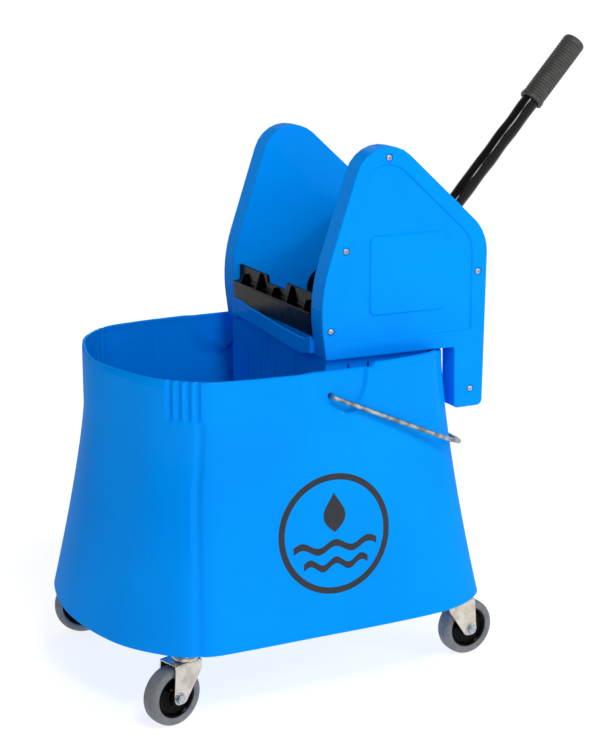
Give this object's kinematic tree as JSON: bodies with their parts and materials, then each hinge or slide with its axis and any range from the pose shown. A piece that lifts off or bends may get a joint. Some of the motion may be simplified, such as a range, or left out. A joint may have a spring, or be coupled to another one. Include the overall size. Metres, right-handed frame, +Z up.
{
  "type": "mop bucket with wringer",
  "caption": "Wheeled janitorial bucket with a wire bail, four swivel casters and a lift-off down-press wringer worked by a side-geared lever.",
  "frame": {"origin": "on the floor, under the middle of the whole object's box", "axes": "+Z up, +X towards the lever, +Y across to the bucket's left side seen from the open front end"},
  "size_m": [0.7617, 0.4268, 0.8107],
  "materials": {
    "blue_plastic": "moulded, glossy",
    "black_plastic": "moulded, glossy",
    "black_enamel": "gloss enamel on steel",
    "black_grip": "moulded, matt",
    "grey_tyre": "moulded grey rubber",
    "bush_plastic": "moulded, plain",
    "pressed_steel": "nickel-plated pressing",
    "galvanised_wire": "galvanised",
    "zinc_steel": "zinc-plated"
  },
  "bodies": {
    "bucket": {"bucket_shell": "blue_plastic", "front_right_plate": "pressed_steel", "front_left_plate": "pressed_steel", "rear_right_plate": "pressed_steel", "rear_left_plate": "pressed_steel"},
    "front_right_fork": {"front_right_fork": "pressed_steel", "front_right_king_pin": "zinc_steel", "front_right_axle": "zinc_steel"},
    "front_right_wheel": {"front_right_hub": "black_plastic", "front_right_tyre": "grey_tyre"},
    "front_left_fork": {"front_left_fork": "pressed_steel", "front_left_king_pin": "zinc_steel", "front_left_axle": "zinc_steel"},
    "front_left_wheel": {"front_left_hub": "black_plastic", "front_left_tyre": "grey_tyre"},
    "rear_right_fork": {"rear_right_fork": "pressed_steel", "rear_right_king_pin": "zinc_steel", "rear_right_axle": "zinc_steel"},
    "rear_right_wheel": {"rear_right_hub": "black_plastic", "rear_right_tyre": "grey_tyre"},
    "rear_left_fork": {"rear_left_fork": "pressed_steel", "rear_left_king_pin": "zinc_steel", "rear_left_axle": "zinc_steel"},
    "rear_left_wheel": {"rear_left_hub": "black_plastic", "rear_left_tyre": "grey_tyre"},
    "bail": {"bail_wire": "galvanised_wire"},
    "wringer": {"wringer_body": "blue_plastic", "left_cover": "blue_plastic", "right_cover": "blue_plastic", "mouth_guard": "black_plastic", "return_spring": "zinc_steel", "left_cover_screw_1": "zinc_steel", "left_cover_screw_2": "zinc_steel", "left_cover_screw_3": "zinc_steel", "left_cover_screw_4": "zinc_steel", "left_cover_screw_5": "zinc_steel", "right_cover_screw_1": "zinc_steel", "right_cover_screw_2": "zinc_steel", "right_cover_screw_3": "zinc_steel", "right_cover_screw_4": "zinc_steel", "right_cover_screw_5": "zinc_steel", "left_lever_bush": "bush_plastic", "left_press_bush": "bush_plastic", "right_lever_bush": "bush_plastic", "right_press_bush": "bush_plastic"},
    "lever": {"lever_shaft": "zinc_steel", "lever_socket": "black_enamel", "lever_tube": "black_enamel", "lever_grip": "black_grip", "lever_clamp_bolt": "zinc_steel", "left_lever_gear": "black_plastic", "right_lever_gear": "black_plastic"},
    "press": {"press_plate": "black_plastic", "press_shaft": "zinc_steel", "left_press_gear": "black_plastic", "right_press_gear": "black_plastic"}
  },
  "joints": [
    {"name": "front_right_swivel", "type": "hinge", "parent": "bucket", "child": "front_right_fork", "pos_m": [-0.2849, -0.16, 0.085], "axis": [0, 0, 1], "continuous": true},
    {"name": "front_right_wheel_spin", "type": "hinge", "parent": "front_right_fork", "child": "front_right_wheel", "pos_m": [-0.30605, -0.16606, 0.038], "axis": [-0.2756, 0.9613, 0], "continuous": true},
    {"name": "front_left_swivel", "type": "hinge", "parent": "bucket", "child": "front_left_fork", "pos_m": [-0.2849, 0.16, 0.085], "axis": [0, 0, 1], "continuous": true},
    {"name": "front_left_wheel_spin", "type": "hinge", "parent": "front_left_fork", "child": "front_left_wheel", "pos_m": [-0.30582, 0.1668, 0.038], "axis": [0.309, 0.9511, 0], "continuous": true},
    {"name": "rear_right_swivel", "type": "hinge", "parent": "bucket", "child": "rear_right_fork", "pos_m": [0.1111, -0.135, 0.085], "axis": [0, 0, 1], "continuous": true},
    {"name": "rear_right_wheel_spin", "type": "hinge", "parent": "rear_right_fork", "child": "rear_right_wheel", "pos_m": [0.13305, -0.13347, 0.038], "axis": [0.0698, -0.9976, 0], "continuous": true},
    {"name": "rear_left_swivel", "type": "hinge", "parent": "bucket", "child": "rear_left_fork", "pos_m": [0.1111, 0.135, 0.085], "axis": [0, 0, 1], "continuous": true},
    {"name": "rear_left_wheel_spin", "type": "hinge", "parent": "rear_left_fork", "child": "rear_left_wheel", "pos_m": [0.1327, 0.1308, 0.038], "axis": [-0.1908, -0.9816, 0], "continuous": true},
    {"name": "bail_swing", "type": "hinge", "parent": "bucket", "child": "bail", "pos_m": [-0.0989, 0, 0.399], "axis": [0, -1, 0], "range_deg": [0, 8]},
    {"name": "wringer_lift", "type": "slide", "parent": "bucket", "child": "wringer", "axis": [0, 0, 1], "range_m": [0, 0.3]},
    {"name": "lever_swing", "type": "hinge", "parent": "wringer", "child": "lever", "pos_m": [0.1031, 0, 0.5], "axis": [0, 1, 0], "range_deg": [0, 56], "stiffness_Nm_per_rad": 3, "springref_deg": -28.65},
    {"name": "press_swing", "type": "hinge", "parent": "wringer", "child": "press", "pos_m": [0.0491, 0, 0.467], "axis": [0, 1, 0], "range_deg": [-98, 0]}
  ],
  "couplings": [
    {"joint": "press_swing", "follows": "lever_swing", "ratio": -1.75}
  ]
}
